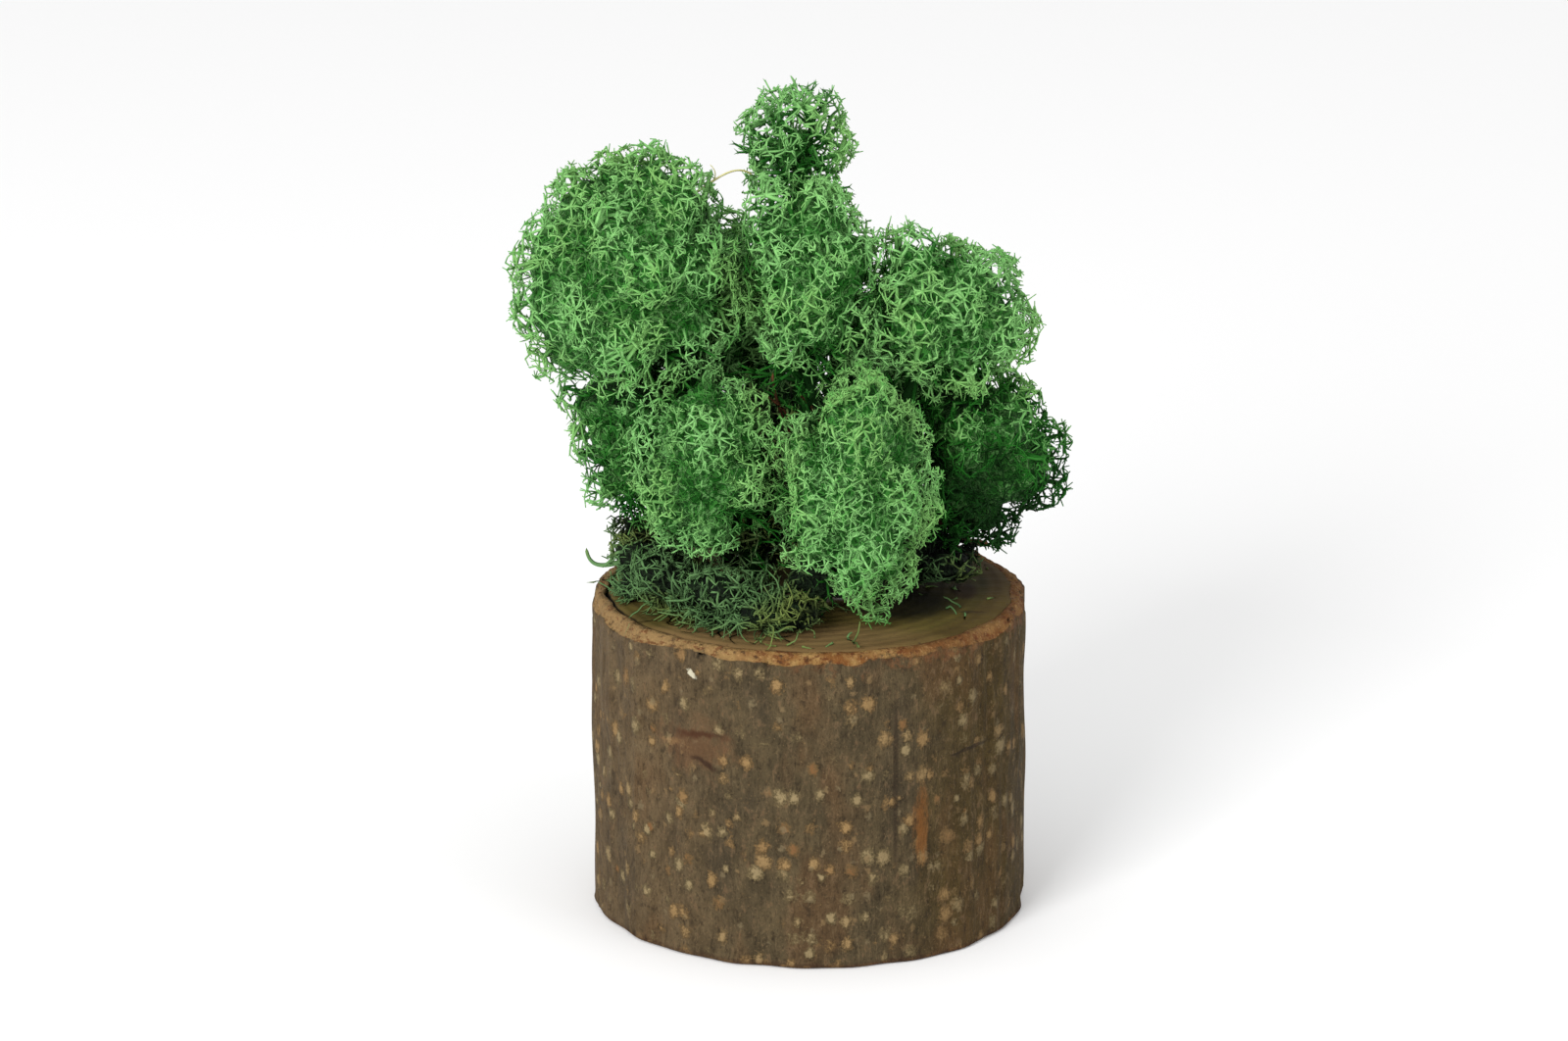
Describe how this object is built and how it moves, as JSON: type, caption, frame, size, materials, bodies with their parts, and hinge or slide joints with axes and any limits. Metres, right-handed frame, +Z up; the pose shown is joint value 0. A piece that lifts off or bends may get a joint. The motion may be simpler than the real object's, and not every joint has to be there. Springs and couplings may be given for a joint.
{
  "type": "reindeer moss clump",
  "caption": "Clump of rounded, lacy heads of green reindeer moss, glued upright on a short sawn log section with its bark on.",
  "frame": {"origin": "centre of the log section's sawn foot, on the surface that it stands on", "axes": "+Z up along the log and the clump, -Y towards the side that faces the viewer, +X to the viewer's right"},
  "size_m": [0.0758, 0.0574, 0.1124],
  "materials": {
    "bark_wood": "matte",
    "glue": "satin",
    "moss": "matte",
    "dark_moss": "matte",
    "dry_twig": "matte"
  },
  "bodies": {
    "root": {"log_section": "bark_wood", "glue_bed": "glue", "moss_mat_dark": "dark_moss", "dry_twig": "dry_twig", "moss_head_upper_left": "moss", "moss_head_top_back": "moss", "moss_head_centre": "moss", "moss_head_right": "moss", "moss_head_right_low": "moss", "moss_head_front": "moss", "moss_head_left_low": "moss", "moss_head_left_edge": "moss", "moss_head_back_left": "moss", "moss_head_back_right": "moss", "moss_head_back_low": "moss"}
  },
  "joints": []
}
